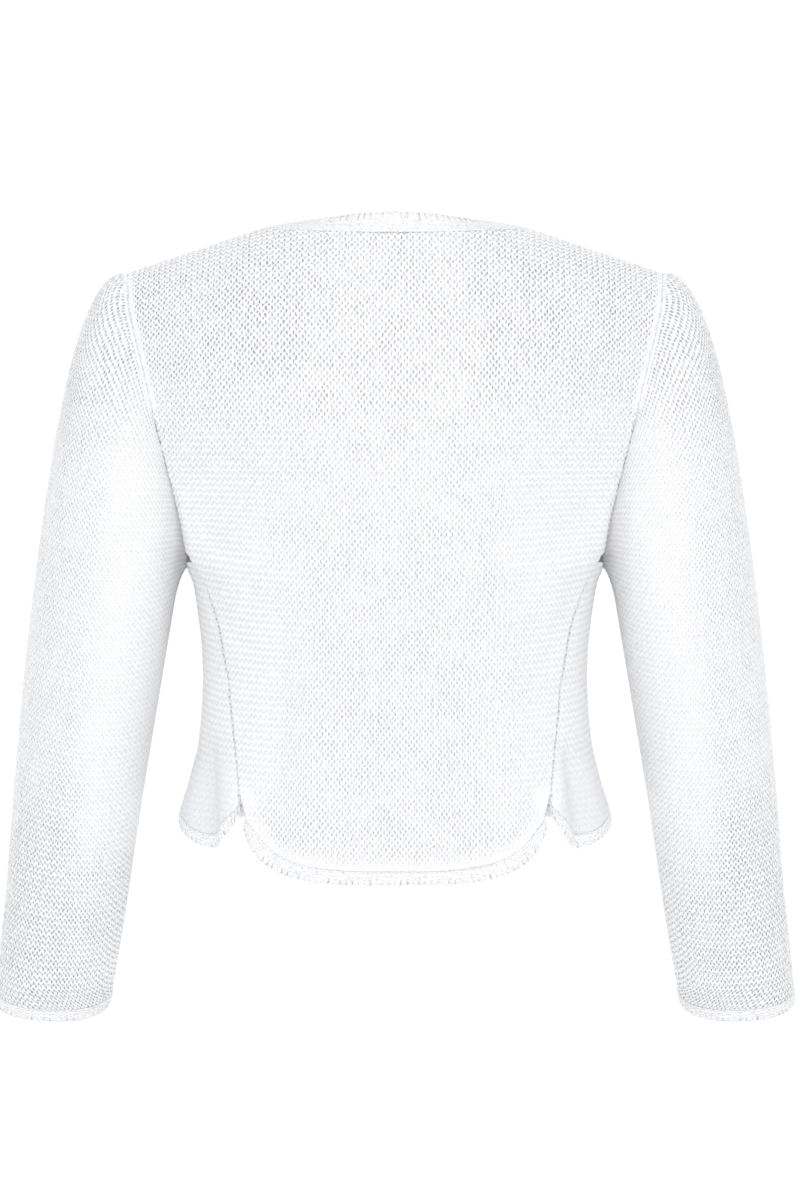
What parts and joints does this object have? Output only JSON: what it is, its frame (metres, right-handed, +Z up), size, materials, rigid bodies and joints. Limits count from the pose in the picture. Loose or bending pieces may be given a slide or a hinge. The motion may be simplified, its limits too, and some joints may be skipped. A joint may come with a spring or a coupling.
{
  "type": "cardigan",
  "caption": "Cropped collarless open-front knitted cardigan with set-in sleeves, princess-seamed back, rounded hem tabs and crocheted edging, hollow as worn.",
  "frame": {"origin": "between the two neck points, at the level where the shoulders carry the garment", "axes": "+Z up, +Y towards the wearer's back, +X towards the wearer's left arm"},
  "size_m": [0.5864, 0.2213, 0.5817],
  "materials": {
    "knit": "white cotton yarn in garter-stitch knit, matt",
    "edging": "white cotton yarn, dense crocheted edging with small picots, matt"
  },
  "bodies": {
    "root": {"back_centre": "knit", "side_back_left": "knit", "side_back_right": "knit", "front_left": "knit", "front_right": "knit", "sleeve_left": "knit", "sleeve_right": "knit", "neck_edging": "edging", "front_edging_left": "edging", "front_edging_right": "edging", "hem_edging_back": "edging", "hem_edging_side_left": "edging", "hem_edging_side_right": "edging", "cuff_edging_left": "edging", "cuff_edging_right": "edging"}
  },
  "joints": []
}
